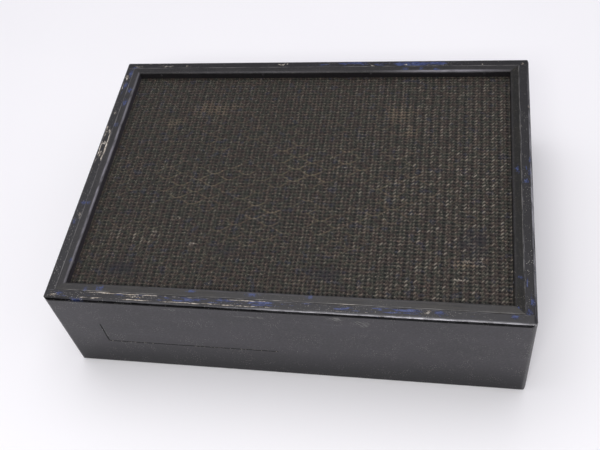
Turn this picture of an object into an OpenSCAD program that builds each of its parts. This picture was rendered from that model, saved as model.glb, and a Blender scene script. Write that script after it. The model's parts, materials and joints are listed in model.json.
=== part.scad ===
// Closed-back wooden loudspeaker cabinet with two drivers behind a woven grille cloth.
// It lies on its back. Millimetres, origin in the middle of the rear edges' plane.
// +Z points out of the grille, +X runs along the long side, and -Y is the cabinet's top board.

/* [Cabinet] */
// Long side of the front
cab_w = 710; // [700:1:760]
// Short side of the front
cab_h = 518; // [490:1:560]
// Depth from the rear edges to the top of the front strips
cab_d = 190; // [186:1:220]
// Thickness of the four boards
board_t = 16; // [15:0.5:17]
// Radius of the outer edges round the front
front_round = 5.5; // [3:0.5:7]
// Radius of the outer edges round the back
back_round = 7; // [3:0.5:7.5]
// Radius of the four long corners
corner_round = 9; // [3:0.5:15]

/* [Front strips and grille] */
// Width of the mitred strips inside the boards
strip_w = 14.5; // [12:0.5:16]
// How far the strips stand above the boards' front edges
strip_proud = 1; // [0:0.25:2]
// Radius of the strips' inner front edges
strip_round = 3.5; // [1:0.5:5]
// Radius of the strips' outer front edges, which leaves a groove beside the boards
groove_round = 0.6; // [0.3:0.1:2]
// Depth of the cloth below the top of the strips
grille_recess = 13; // [10:0.5:15]
// Thickness of the woven cloth
cloth_t = 2.6; // [2:0.1:3]
// Thickness of the rails that the cloth is stapled to
rail_t = 8; // [6:0.5:10]
// Width of those rails
rail_w = 22; // [18:1:26]

/* [Filled cut-out] */
// Distance from the left face to the cut-out
cutout_from_left = 71; // [60:1:120]
// Length of the cut-out
cutout_l = 274; // [200:1:300]
// Height of the cut-out's lower edge above the rear edges
cutout_z = 71; // [66:1:76]
// Width of the cut-out
cutout_w = 50; // [40:1:50]
// Open seam on the left and rear sides of the piece that fills it
cutout_gap = 1.2; // [0.3:0.1:1.5]

/* [Baffle and back] */
// Thickness of the baffle board
baffle_t = 16; // [12:0.5:18]
// Side of the square battens that hold the baffle and the back
cleat = 18; // [15:1:18]
// Thickness of the back panel
back_t = 9; // [6:0.5:12]
// Depth of the back panel inside the rear edges
back_recess = 4; // [4:0.5:6]

/* [Drivers] */
// Distance between the two drivers' centres
driver_pitch = 330; // [316:1:332]
// Radius of the baffle's round holes
hole_r = 140; // [136:1:140]
// Radius of the driver's flange
flange_r = 154.5; // [153:0.5:155]
// Radius of the circle of mounting bolts
bolt_circle_r = 148; // [147:0.5:149]
// Radius of the voice coil's former, outside
former_r = 22.2; // [22.1:0.1:22.4]

/* [Connector] */
// Place of the connector plate along the long side
jack_x = 0; // [-60:1:60]
// Place of the connector plate along the short side
jack_y = 150; // [120:1:170]
// Radius of the jack socket's bore, for a 6.35 mm plug
jack_bore_r = 3.2; // [3.2:0.05:3.25]

/* [Hidden] */
$fn = 64;
wall_d = cab_d - strip_proud;
in_w = cab_w - 2 * board_t;
in_h = cab_h - 2 * board_t;
cloth_top = cab_d - grille_recess;
rail_top = cloth_top - cloth_t;
baffle_top = rail_top - rail_t;
baffle_z = baffle_top - baffle_t;
back_top = back_recess + back_t;
fit_gap = 1;
tight_gap = 0.05;
cleat_mid = cleat / 2;

// The four sides, named as the cabinet stands in use. Each is built along X at -Y and turned.
SIDES = ["top", "right", "bottom", "left"];
function turn(side) = 90 * search([side], SIDES)[0];
function is_long(side) = side == "top" || side == "bottom";
function run(side) = is_long(side) ? in_w : in_h;
function reach(side) = (is_long(side) ? in_h : in_w) / 2;

// Nails through the strips, spread over a long and a short side
long_nails = [-284, -95, 95, 284];
short_nails = [-190, 0, 190];
nail_r = 1.1;
nail_head_r = 2.1;
nail_depth = 5;
nail_l = 24;

// Screws
long_screws = [-300, -150, 0, 150, 300];
short_screws = [-140, 0, 140];
wood_screw_r = 1.9;
wood_screw_l = 26;

// Driver, with t measured back from the baffle's rear face
gasket_t = 3;
rim_t = 0.8;
plate_t = 1.5;
t_rim = gasket_t;
t_flange = t_rim + rim_t;
t_well = 30;
t_shelf = 76.5;
t_base = 84;
top_plate_t = 8;
magnet_t = 16;
back_plate_t = 7;
t_magnet = t_base + top_plate_t;
t_back_plate = t_magnet + magnet_t;
well_r = 139;
shelf_r = 66;
neck_r = 60;
magnet_r = 62;
pole_r = 21.3;
gap_r = 23.4;
former_t = 0.3;
coil_t = 0.6;
cone_r = 128;
cone_front_t = 8;
cone_neck_t = 66;
cone_t = 1;
cap_r = 40;
cap_h = 11;
spider_t = 0.6;
glue_gap = 0.3;
windows = 8;
window_angle = 27;
bolt_r = 2.5;

// Jack socket
plate_w = 76;
plate_h = 58;
plate_thick = 1.2;
plate_z = back_recess - plate_thick;
plate_screw_x = 31;
plate_screw_y = 22;
bushing_r = 4.7;
bushing_z = 0.4;
bushing_top = 9;
frame_x = 9;
leaf_t = 0.5;
leaf_w = 6;

// The leads' routes, as chosen points
jack_route = [
    [10, 150, 16], [16, 150, 20], [16, 146, 32], [0, 138, 42], [-30, 126, 46], [-70, 116, 48],
    [-110, 108, 52], [-140, 100, 60], [-158, 94, 66], [-165, 88, 68.5]
];
link_route = [
    [-173, 88, 68.5], [-176, 96, 62], [-172, 106, 46], [-154, 112, 28], [-120, 116, 17.5],
    [-60, 112, 15.8], [0, 104, 15.8], [60, 106, 15.8], [120, 114, 17.5], [152, 112, 28],
    [168, 104, 46], [172, 96, 62], [165, 88, 68.5]
];
lead_r = 2.2;
tinsel_r = 0.7;
tinsel_route = [[0, 82, -76.6], [0, 78, -74.5], [0, 73, -70.5], [0, 66, -67], [0, 57, -62.5], [0, 46.5, -53]];

DRIVER_PARTS = [
    "basket", "gasket", "surround", "cone", "dust_cap", "voice_coil", "spider",
    "top_plate", "magnet", "back_plate", "terminals", "tinsel_leads"
];

// ---------- shared shapes ----------

// A box given by two opposite corners
module block(low, high) {
    translate(low) cube(high - low);
}

// What a round of radius r takes off a square corner
module corner_cut(corner, inward, r) {
    difference() {
        translate(corner) square(2 * r, center = true);
        translate(corner + r * inward) circle(r);
    }
}

// A rectangle from low to high with its corners rounded
module rounded_rect(low, high, r) {
    difference() {
        translate(low) square(high - low);
        corner_cut(low, [1, 1], r);
        corner_cut(high, [-1, -1], r);
        corner_cut([low[0], high[1]], [1, -1], r);
        corner_cut([high[0], low[1]], [-1, 1], r);
    }
}

// A slice through the cabinet, with its front and rear edges rounded
module cabinet_slice(width) {
    difference() {
        translate([-width / 2, 0]) square([width, wall_d]);
        for (side = [-1, 1]) {
            corner_cut([side * width / 2, wall_d], [-side, -1], front_round);
            corner_cut([side * width / 2, 0], [-side, 1], back_round);
        }
    }
}

// The cabinet's outer form as one block
module cabinet_block() {
    intersection() {
        rotate([90, 0, 90]) linear_extrude(cab_w, center = true) cabinet_slice(cab_h);
        rotate([90, 0, 0]) linear_extrude(cab_h, center = true) cabinet_slice(cab_w);
        linear_extrude(wall_d)
            rounded_rect([-cab_w / 2, -cab_h / 2], [cab_w / 2, cab_h / 2], corner_round);
    }
}

// A screw standing on its tip's side of the origin: the head is below, the shank points to +Z
module wood_screw(head_r, head_h, shank_r, shank_l) {
    difference() {
        union() {
            rotate_extrude() polygon([
                [0, -head_h], [head_r * 0.6, -head_h], [head_r, -head_h * 0.4], [head_r, 0], [0, 0]
            ]);
            cylinder(r = shank_r, h = shank_l - 2 * shank_r);
            translate([0, 0, shank_l - 2 * shank_r]) cylinder(r1 = shank_r, r2 = 0.2, h = 2 * shank_r);
        }
        block([-head_r, -0.5, -head_h - 1], [head_r, 0.5, -head_h * 0.5]);
    }
}

// Points on a smooth curve through the route's points, with steps between each pair
function between(p0, p1, p2, p3, f) = 0.5 * (
    2 * p1 + (p2 - p0) * f + (2 * p0 - 5 * p1 + 4 * p2 - p3) * f * f
    + (3 * p1 - p0 - 3 * p2 + p3) * f * f * f
);
function smooth(route, steps) = let (last = len(route) - 1) [
    for (i = [0:last - 1], k = [0:steps - 1])
        between(route[max(i - 1, 0)], route[i], route[i + 1], route[min(i + 2, last)], k / steps),
    route[last]
];

// A round tube swept along the points
module swept_tube(points, r, sides = 8) {
    last = len(points) - 1;
    leaning = [0.31, 0.93, 0.2];
    rings = [
        for (i = [0:last])
            let (
                along = points[min(i + 1, last)] - points[max(i - 1, 0)],
                ahead = along / norm(along),
                across = cross(ahead, leaning) / norm(cross(ahead, leaning)),
                up = cross(across, ahead)
            )
            for (k = [0:sides - 1])
                points[i] + r * (cos(360 * k / sides) * across + sin(360 * k / sides) * up)
    ];
    walls = [
        for (i = [0:last - 1], k = [0:sides - 1])
            let (next = (k + 1) % sides)
            [i * sides + k, i * sides + next, (i + 1) * sides + next, (i + 1) * sides + k]
    ];
    polyhedron(
        rings,
        concat(
            walls,
            [[for (k = [0:sides - 1]) sides - 1 - k]],
            [[for (k = [0:sides - 1]) last * sides + k]]
        )
    );
}

// ---------- boards ----------

module top_panel() {
    color("#3b3a3e") difference() {
        intersection() {
            cabinet_block();
            block([-cab_w, -cab_h / 2, 0], [cab_w, -in_h / 2, cab_d]);
        }
        block(
            [cutout_from_left - cab_w / 2, -cab_h, cutout_z],
            [cutout_from_left - cab_w / 2 + cutout_l, 0, cutout_z + cutout_w]
        );
    }
}

module bottom_panel() {
    color("#38373b") intersection() {
        cabinet_block();
        block([-cab_w, in_h / 2, 0], [cab_w, cab_h / 2, cab_d]);
    }
}

module side_panel(sign) {
    color("#39383c") intersection() {
        cabinet_block();
        translate([sign * (cab_w - board_t) / 2, 0, cab_d / 2])
            cube([board_t, in_h, cab_d], center = true);
    }
}

// It was pushed up against the right and front sides of the cut-out, so the other two seams stay open
module cutout_infill() {
    left = cutout_from_left - cab_w / 2;
    set_back = 0.1;
    color("#3d3c41") block(
        [left + cutout_gap, -cab_h / 2 + set_back, cutout_z + cutout_gap],
        [left + cutout_l - tight_gap, -in_h / 2, cutout_z + cutout_w - tight_gap]
    );
}

module infill_backing() {
    left = cutout_from_left - cab_w / 2;
    margin = 12;
    color("#b08d5f") block(
        [left - margin, -in_h / 2, cutout_z - margin],
        [left + cutout_l + margin, -in_h / 2 + back_t, min(cutout_z + cutout_w + margin, baffle_z - cleat)]
    );
}

// ---------- front strips ----------

// A mitred strip with both of its front edges rounded
module front_strip(side) {
    half = run(side) / 2;
    out = reach(side);
    color("#46454a") rotate([0, 0, turn(side)]) intersection() {
        translate([0, 0, cloth_top]) linear_extrude(grille_recess) polygon([
            [-half, -out], [half, -out], [half - strip_w, -out + strip_w], [-half + strip_w, -out + strip_w]
        ]);
        rotate([90, 0, 90]) linear_extrude(2 * half, center = true) difference() {
            translate([-out, cloth_top]) square([strip_w, grille_recess]);
            corner_cut([-out + strip_w, cab_d], [-1, -1], strip_round);
            corner_cut([-out, cab_d], [1, -1], groove_round);
        }
    }
}

// Round nails driven sideways through the strips into the boards, their heads just proud
module strip_nails() {
    head_t = 1;
    color("#2a2a2c") for (side = SIDES) rotate([0, 0, turn(side)])
        for (x = is_long(side) ? long_nails : short_nails)
            translate([x, -reach(side) + strip_w, cab_d - nail_depth]) rotate([90, 0, 0]) {
                translate([0, 0, -head_t * 0.6]) cylinder(r = nail_head_r, h = head_t * 0.6, $fn = 24);
                cylinder(r = nail_r, h = nail_l, $fn = 24);
            }
}

// ---------- grille ----------

// The long rails run the full length and the short ones fit between them
module grille_rail(side) {
    half = run(side) / 2 - fit_gap - (is_long(side) ? 0 : rail_w);
    out = reach(side) - fit_gap;
    color("#a78455") rotate([0, 0, turn(side)])
        block([-half, -out, baffle_top], [half, -out + rail_w, rail_top]);
}

module grille_cloth() {
    half = [in_w / 2 - fit_gap, in_h / 2 - fit_gap];
    color("#2e2b27")
        block([-half[0], -half[1], rail_top], [half[0], half[1], cloth_top]);
}

module cloth_staples() {
    wire = 0.6;
    crown = 10;
    leg = 7;
    long_places = [for (i = [-5:5]) i * 60];
    short_places = [for (i = [-3:3]) i * 60];
    color("#8d8f92") for (side = SIDES) rotate([0, 0, turn(side)])
        for (x = is_long(side) ? long_places : short_places)
            translate([x, -reach(side) + strip_w / 2 + wire / 2, cloth_top]) rotate([90, 0, 0])
                linear_extrude(wire) polygon([
                    [-crown / 2, -leg], [-crown / 2, 0], [crown / 2, 0], [crown / 2, -leg],
                    [crown / 2 - wire, -leg], [crown / 2 - wire, -wire],
                    [wire - crown / 2, -wire], [wire - crown / 2, -leg]
                ]);
}

// ---------- baffle and back ----------

module baffle() {
    half = [in_w / 2 - fit_gap, in_h / 2 - fit_gap];
    color("#9c7a4e") difference() {
        block([-half[0], -half[1], baffle_z], [half[0], half[1], baffle_top]);
        for (sign = [-1, 1]) translate([sign * driver_pitch / 2, 0, 0]) {
            cylinder(r = hole_r, h = cab_d, $fn = 128);
            for (angle = [45:90:315]) rotate([0, 0, angle])
                translate([bolt_circle_r, 0, 0]) cylinder(r = bolt_r + 1, h = cab_d, $fn = 24);
        }
        at_baffle_screws() countersunk_screw();
    }
}

module at_baffle_screws() {
    for (side = SIDES) rotate([0, 0, turn(side)])
        for (x = is_long(side) ? long_screws : short_screws)
            translate([x, -reach(side) + cleat_mid, baffle_top]) children();
}

// A flat-headed screw with its head's top at the origin, pointing down
module countersunk_screw() {
    head_h = 2.4;
    translate([0, 0, -head_h]) cylinder(r1 = wood_screw_r, r2 = wood_screw_r + head_h, h = head_h, $fn = 24);
    translate([0, 0, -wood_screw_l]) cylinder(r = wood_screw_r, h = wood_screw_l, $fn = 24);
}

module baffle_screws() {
    color("#b9a25a") at_baffle_screws() countersunk_screw();
}

// A batten along a side, its top at z. Short ones stop at the long ones.
module batten(side, z) {
    half = run(side) / 2 - (is_long(side) ? 0 : cleat);
    rotate([0, 0, turn(side)])
        block([-half, -reach(side), z - cleat], [half, -reach(side) + cleat, z]);
}

module baffle_cleat(side) {
    color("#b8935f") batten(side, baffle_z);
}

module back_cleats_long() {
    color("#b8935f") for (side = ["top", "bottom"]) batten(side, back_top + cleat);
}

module back_cleats_short() {
    color("#b8935f") for (side = ["left", "right"]) batten(side, back_top + cleat);
}

module back_panel() {
    half = [in_w / 2 - fit_gap, in_h / 2 - fit_gap];
    window = [25, 18];
    color("#2f2e31") difference() {
        block([-half[0], -half[1], back_recess], [half[0], half[1], back_top]);
        block(
            [jack_x - window[0], jack_y - window[1], 0],
            [jack_x + window[0], jack_y + window[1], cab_d]
        );
        at_back_screws() cylinder(r = wood_screw_r, h = cab_d, $fn = 24);
        at_plate_screws() cylinder(r = 1.3, h = cab_d, $fn = 24);
    }
}

module at_back_screws() {
    for (side = SIDES) rotate([0, 0, turn(side)])
        for (x = is_long(side) ? long_screws : short_screws)
            translate([x, -reach(side) + cleat_mid, back_recess]) children();
}

module back_screws() {
    color("#8f8c82") at_back_screws() wood_screw(4.2, 2.6, wood_screw_r, wood_screw_l, $fn = 32);
}

// ---------- connector ----------

module at_plate_screws() {
    for (sx = [-1, 1], sy = [-1, 1])
        translate([jack_x + sx * plate_screw_x, jack_y + sy * plate_screw_y, 0]) children();
}

module jack_plate() {
    corner = 5;
    color("#8c8e91") difference() {
        translate([jack_x, jack_y, plate_z]) linear_extrude(plate_thick)
            rounded_rect([-plate_w / 2, -plate_h / 2], [plate_w / 2, plate_h / 2], corner);
        translate([jack_x, jack_y, 0]) cylinder(r = bushing_r + 0.1, h = cab_d, $fn = 48);
        at_plate_screws() cylinder(r = 1.8, h = cab_d, $fn = 24);
    }
}

module jack_plate_screws() {
    color("#9a9a96") at_plate_screws() translate([0, 0, plate_z]) wood_screw(3.2, 1.8, 1.6, 9.5, $fn = 32);
}

// The threaded bushing, its square seat, the arm and the moulded block on it are one piece
module jack_socket() {
    seat = 8;
    seat_t = 1.4;
    arm_w = 9;
    arm_top = 17;
    insulator = [3.2, 7];
    color("#b5b7ba") translate([jack_x, jack_y, 0]) difference() {
        union() {
            translate([0, 0, bushing_z]) cylinder(r = bushing_r, h = bushing_top - bushing_z, $fn = 48);
            block([-seat, -seat, back_recess], [frame_x + 1.4, seat, back_recess + seat_t]);
            block([frame_x, -arm_w / 2, back_recess], [frame_x + 1.4, arm_w / 2, arm_top]);
            block(
                [frame_x - insulator[0], -arm_w / 2, arm_top - insulator[1]],
                [frame_x, arm_w / 2, arm_top]
            );
        }
        cylinder(r = jack_bore_r, h = cab_d, $fn = 48);
    }
}

module jack_nut() {
    across_flats = 12.7;
    nut_t = 2;
    color("#c3c5c8") translate([jack_x, jack_y, plate_z - nut_t]) difference() {
        cylinder(r = across_flats / 2 / cos(30), h = nut_t, $fn = 6);
        translate([0, 0, -1]) cylinder(r = bushing_r, h = nut_t + 2, $fn = 48);
    }
}

// A bent spring leaf whose knee stands in the way of the plug's tip
module jack_tip_contact() {
    foot = frame_x - 3.2 - glue_gap;
    knee = 1.6;
    outline = [[foot, 14], [foot, 17], [foot - 0.9, 22], [knee, 26], [foot - 1.2, 31]];
    color("#c9a24b") translate([jack_x, jack_y + leaf_w / 2, 0]) rotate([90, 0, 0])
        linear_extrude(leaf_w) polygon(concat(
            outline,
            [for (i = [len(outline) - 1:-1:0]) outline[i] - [leaf_t, 0]]
        ));
}

// ---------- leads ----------

module jack_lead() {
    color("#6e2f2a") swept_tube(smooth(jack_route, 3), lead_r);
}

module link_lead() {
    color("#6e2f2a") swept_tube(smooth(link_route, 3), lead_r);
}

// ---------- drivers ----------

module at_driver(sign) {
    translate([sign * driver_pitch / 2, 0, baffle_z]) children();
}

// A ring given by its radii and by how far back its two faces lie
module ring(inner, outer, t_front, t_rear, facets = 96) {
    translate([0, 0, -t_rear]) difference() {
        cylinder(r = outer, h = t_rear - t_front, $fn = facets);
        translate([0, 0, -1]) cylinder(r = inner, h = t_rear - t_front + 2, $fn = facets);
    }
}

module at_bolts() {
    for (angle = [45:90:315]) rotate([0, 0, angle]) translate([bolt_circle_r, 0, 0]) children();
}

module tee_nuts() {
    color("#a8aaad") for (sign = [-1, 1]) at_driver(sign) at_bolts() difference() {
        union() {
            translate([0, 0, baffle_t]) cylinder(r = 8.5, h = 1.5, $fn = 32);
            translate([0, 0, baffle_t - 9]) cylinder(r = bolt_r + 0.9, h = 9.5, $fn = 32);
        }
        cylinder(r = bolt_r, h = cab_d, $fn = 32);
    }
}

module driver_bolts() {
    head_t = 3.4;
    t_head = t_flange + plate_t;
    color("#7d7f82") for (sign = [-1, 1]) at_driver(sign) at_bolts() {
        translate([0, 0, -t_head - head_t]) cylinder(r = 4.6, h = head_t, $fn = 6);
        translate([0, 0, -t_head - 0.1]) cylinder(r = bolt_r, h = t_head + baffle_t + 0.8, $fn = 32);
    }
}

// The pressed-steel basket: flange, well, eight legs, spider shelf and neck
module basket() {
    slope_rear = t_shelf + plate_t;
    color("#4a5560") difference() {
        rotate_extrude($fn = 96) polygon([
            [well_r - plate_t, -t_flange], [flange_r, -t_flange], [flange_r, -t_flange - plate_t],
            [well_r, -t_flange - plate_t], [well_r, -t_well], [shelf_r + plate_t, -slope_rear],
            [neck_r, -slope_rear], [neck_r, -t_base], [gap_r, -t_base], [gap_r, -t_base + plate_t],
            [neck_r - plate_t, -t_base + plate_t], [neck_r - plate_t, -t_shelf],
            [shelf_r, -t_shelf], [well_r - plate_t, -t_well]
        ]);
        for (k = [0:windows - 1]) rotate([0, 0, (k * 360 - window_angle * windows / 2) / windows])
            rotate_extrude(angle = window_angle, $fn = 96) polygon([
                [shelf_r + 6, -t_well - 1], [well_r + 2, -t_well - 1],
                [well_r + 2, -t_shelf - 6], [shelf_r + 6, -t_shelf - 6]
            ]);
        at_bolts() translate([0, 0, -t_base]) cylinder(r = bolt_r + 0.5, h = t_base, $fn = 24);
    }
}

module gasket() {
    color("#6b5a45") difference() {
        ring(hole_r, flange_r - 2.5, 0, gasket_t);
        at_bolts() translate([0, 0, -gasket_t - 1]) cylinder(r = bolt_r + 0.5, h = gasket_t + 2, $fn = 24);
    }
}

// The pleated edge between the cone and the rim
module surround() {
    waves = 3;
    points = 24;
    inner = cone_r + glue_gap;
    outer = well_r - plate_t - 0.5;
    t_inner = cone_front_t - 0.6;
    middle = [for (i = [0:points]) let (f = i / points) [
        inner + (outer - inner) * f,
        -(t_inner + (t_rim - t_inner) * f) + 1.1 * sin(360 * waves * f)
    ]];
    color("#26231f") rotate_extrude($fn = 96) polygon(concat(
        middle,
        [[well_r + 5, -t_rim], [well_r + 5, -t_flange]],
        [for (i = [points:-1:0]) middle[i] - [0, rim_t]]
    ));
}

// How far back the cone's front face is at a radius
function cone_depth(r) =
    cone_neck_t - (cone_neck_t - cone_front_t) * pow((r - former_r) / (cone_r - former_r), 0.85);

module cone() {
    steps = 12;
    face = [for (i = [0:steps]) let (r = former_r + (cone_r - former_r) * i / steps) [r, -cone_depth(r)]];
    color("#3a3733") rotate_extrude($fn = 96) polygon(concat(
        face,
        [for (i = [steps:-1:0]) face[i] - [0, cone_t]]
    ));
}

module dust_cap() {
    steps = 8;
    base = -cone_depth(cap_r);
    dome = [for (i = [0:steps]) let (a = 90 * i / steps) [cap_r * cos(a), base + 0.1 + cap_h * sin(a)]];
    inner = [for (i = [steps:-1:0]) let (a = 90 * i / steps) [
        (cap_r - 1.2) * cos(a), base + 0.1 + (cap_h - 0.8) * sin(a)
    ]];
    color("#2c2a28") rotate_extrude($fn = 96) polygon(concat(dome, inner));
}

// The paper former with the copper winding at its rear end
module voice_coil() {
    t_former = t_magnet + 9;
    t_coil = [t_base - 2, t_magnet + 5];
    color("#b0703c") difference() {
        union() {
            translate([0, 0, -t_former]) cylinder(r = former_r, h = t_former - cone_neck_t + 2, $fn = 96);
            translate([0, 0, -t_coil[1]]) cylinder(r = former_r + coil_t, h = t_coil[1] - t_coil[0], $fn = 96);
        }
        translate([0, 0, -t_former - 1]) cylinder(r = former_r - former_t, h = t_former, $fn = 96);
    }
}

// The corrugated ring that centres the voice coil
module spider() {
    waves = 5;
    points = 40;
    inner = former_r + glue_gap;
    outer = neck_r - plate_t - 1;
    dish = 5.4;
    middle = [for (i = [0:points]) let (f = i / points) [
        inner + (outer - inner) * f,
        spider_t - t_shelf + dish * (1 - f) + 1.2 * sin(360 * waves * f)
    ]];
    color("#a58a4e") rotate_extrude($fn = 96) polygon(concat(
        middle,
        [[shelf_r - 2, spider_t - t_shelf], [shelf_r - 2, -t_shelf]],
        [for (i = [points:-1:0]) middle[i] - [0, spider_t]]
    ));
}

module top_plate() {
    color("#9a9c9f") ring(gap_r, neck_r - 2, t_base, t_magnet);
}

module magnet() {
    color("#4d4b49") ring(gap_r + 6, magnet_r, t_magnet, t_back_plate);
}

module back_plate() {
    vent_r = 6;
    color("#8f9194") difference() {
        union() {
            translate([0, 0, -t_back_plate - back_plate_t]) cylinder(r = neck_r, h = back_plate_t, $fn = 96);
            translate([0, 0, -t_back_plate]) cylinder(r = pole_r, h = t_back_plate - t_base, $fn = 96);
        }
        translate([0, 0, -t_back_plate - back_plate_t - 1]) cylinder(r = vent_r, h = cab_d, $fn = 48);
    }
}

// A strip of board under the spider shelf with two solder tags
module terminals() {
    rear = -t_shelf - plate_t;
    color("#8a5a33") block([-13, neck_r + 1, rear - 1.6], [13, neck_r + 27, rear]);
    color("#c8b070") for (x = [-8, 8]) block([x - 2.5, neck_r + 18, rear], [x + 2.5, neck_r + 30, rear + 0.8]);
}

module tinsel_leads() {
    color("#b87a4a") for (x = [-8, 8])
        translate([x, 0, 0]) swept_tube(smooth(tinsel_route, 3), tinsel_r);
}

module driver_part(part, sign) {
    at_driver(sign) {
        if (part == "basket") basket();
        if (part == "gasket") gasket();
        if (part == "surround") surround();
        if (part == "cone") cone();
        if (part == "dust_cap") dust_cap();
        if (part == "voice_coil") voice_coil();
        if (part == "spider") spider();
        if (part == "top_plate") top_plate();
        if (part == "magnet") magnet();
        if (part == "back_plate") back_plate();
        if (part == "terminals") terminals();
        if (part == "tinsel_leads") tinsel_leads();
    }
}

// ---------- what is drawn ----------

top_panel();
bottom_panel();
side_panel(-1);  // left_side
side_panel(1);  // right_side
cutout_infill();
infill_backing();
front_strip("top");  // front_strip_top
front_strip("bottom");  // front_strip_bottom
front_strip("left");  // front_strip_left
front_strip("right");  // front_strip_right
strip_nails();
grille_rail("top");  // grille_rail_top
grille_rail("bottom");  // grille_rail_bottom
grille_rail("left");  // grille_rail_left
grille_rail("right");  // grille_rail_right
grille_cloth();
cloth_staples();
baffle();
baffle_screws();
baffle_cleat("top");  // baffle_cleat_top
baffle_cleat("bottom");  // baffle_cleat_bottom
baffle_cleat("left");  // baffle_cleat_left
baffle_cleat("right");  // baffle_cleat_right
back_cleats_long();
back_cleats_short();
back_panel();
back_screws();
jack_plate();
jack_plate_screws();
jack_socket();
jack_nut();
jack_tip_contact();
jack_lead();
link_lead();
tee_nuts();
driver_bolts();
for (part = DRIVER_PARTS) {
    driver_part(part, -1);
    driver_part(part, 1);
}
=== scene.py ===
import json
import math

import bpy
import numpy as np
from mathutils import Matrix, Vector


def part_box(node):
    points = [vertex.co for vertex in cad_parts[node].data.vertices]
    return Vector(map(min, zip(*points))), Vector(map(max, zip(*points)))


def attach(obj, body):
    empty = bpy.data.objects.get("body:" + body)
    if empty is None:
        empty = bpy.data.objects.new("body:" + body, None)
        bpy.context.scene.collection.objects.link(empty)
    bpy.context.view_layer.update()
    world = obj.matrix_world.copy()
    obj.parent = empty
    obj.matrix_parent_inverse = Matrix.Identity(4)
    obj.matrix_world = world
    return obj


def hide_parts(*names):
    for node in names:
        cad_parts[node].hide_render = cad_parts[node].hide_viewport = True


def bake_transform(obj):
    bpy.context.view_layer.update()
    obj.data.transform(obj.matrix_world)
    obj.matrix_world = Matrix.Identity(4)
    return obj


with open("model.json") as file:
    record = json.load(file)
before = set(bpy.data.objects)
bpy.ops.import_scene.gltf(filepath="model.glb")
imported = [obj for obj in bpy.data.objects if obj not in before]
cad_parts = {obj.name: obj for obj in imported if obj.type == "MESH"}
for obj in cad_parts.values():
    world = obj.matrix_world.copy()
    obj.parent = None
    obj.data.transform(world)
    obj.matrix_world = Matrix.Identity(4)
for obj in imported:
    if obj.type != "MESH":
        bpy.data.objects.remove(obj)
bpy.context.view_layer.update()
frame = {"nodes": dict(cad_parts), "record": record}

# Everything is in metres, in the frame's own axes.
# +Z points out of the grille, and the cabinet's top board is at -Y.
WALL_LOW, WALL_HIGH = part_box("top_panel")
HALF_X, HALF_Y = WALL_HIGH.x, -WALL_LOW.y
BOARD_TOP = WALL_HIGH.z
BOARD = WALL_HIGH.y - WALL_LOW.y
IN_X, IN_Y = HALF_X - BOARD, HALF_Y - BOARD
CLOTH_LOW, CLOTH_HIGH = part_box("grille_cloth")
INFILL_LOW, INFILL_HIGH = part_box("cutout_infill")
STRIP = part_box("front_strip_top")[1].y + IN_Y
MM = 0.001

# The lines that the wear follows, as distances in from the outer faces: the outer arris, and the groove
# beside the strips. Then the heights where the arris's rounding ends and the flat outer face starts.
ARRIS_LINE = 5.6 * MM
GROOVE_LINE = 14.6 * MM
ROUND_END = BOARD_TOP - 5.9 * MM
FACE_START = BOARD_TOP - 6.4 * MM


# ---------- camera, lights and floor ----------


def make_camera():
    camera = bpy.data.objects.new("camera", bpy.data.cameras.new("camera"))
    bpy.context.scene.collection.objects.link(camera)
    camera.location = (0.2362, -0.8544, 1.1712)
    camera.rotation_euler = [math.radians(a) for a in (37.24, 8.77, 9.21)]
    camera.data.sensor_width = 36
    camera.data.lens = 50
    camera.data.shift_x = 0.060
    camera.data.shift_y = 0.022
    camera.data.clip_start = 0.05
    bpy.context.scene.camera = camera


def add_light(name, place, target, size, watts, colour):
    light = bpy.data.objects.new(name, bpy.data.lights.new(name, "AREA"))
    bpy.context.scene.collection.objects.link(light)
    light.data.shape = "RECTANGLE"
    light.data.size, light.data.size_y = size
    light.data.energy = watts
    light.data.color = colour
    light.location = place
    light.rotation_euler = (Vector(target) - Vector(place)).to_track_quat("-Z", "Y").to_euler()


def make_lights():
    add_light("key", (0.15, -2.3, 2.5), (0, 0, 0.1), (1.6, 0.7), 46, (1.0, 0.98, 0.96))
    add_light("ceiling", (-0.3, 0.76, 3.4), (0, 0, 0), (3.2, 2.4), 44, (1.0, 0.975, 0.99))


def make_room():
    """A pale room all round, with a dark doorway low down on the side of the cabinet's top board."""
    room = bpy.data.worlds.new("studio")
    bpy.context.scene.world = room
    room.use_nodes = True
    nodes, links = room.node_tree.nodes, room.node_tree.links
    split = nodes.new("ShaderNodeSeparateXYZ")
    links.new(nodes.new("ShaderNodeTexCoord").outputs["Generated"], split.inputs[0])

    def fade(axis, start, end, low=0.0, high=1.0):
        node = nodes.new("ShaderNodeMapRange")
        node.interpolation_type = "SMOOTHSTEP"
        ends = zip(("From Min", "From Max", "To Min", "To Max"), (start, end, low, high))
        for socket, value in ends:
            node.inputs[socket].default_value = value
        links.new(split.outputs[axis], node.inputs["Value"])
        return node.outputs[0]

    def product(one, two):
        node = nodes.new("ShaderNodeMath")
        node.operation = "MULTIPLY"
        links.new(one, node.inputs[0])
        links.new(two, node.inputs[1])
        return node.outputs[0]

    doorway = fade("Y", -0.62, -0.82)
    for axis, start, end in (("X", -0.66, -0.50), ("X", 0.30, 0.14), ("Z", 0.62, 0.46)):
        doorway = product(doorway, fade(axis, start, end))
    dim = nodes.new("ShaderNodeMath")
    dim.operation = "SUBTRACT"
    dim.inputs[0].default_value = 1
    links.new(doorway, dim.inputs[1])
    strength = product(dim.outputs[0], fade("Z", 0.02, 0.50, 0.46, 0.60))
    nodes["Background"].inputs["Color"].default_value = (0.94, 0.93, 1.0, 1)
    links.new(strength, nodes["Background"].inputs["Strength"])
    bpy.context.scene.view_settings.view_transform = "Standard"


# ---------- materials ----------


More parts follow.
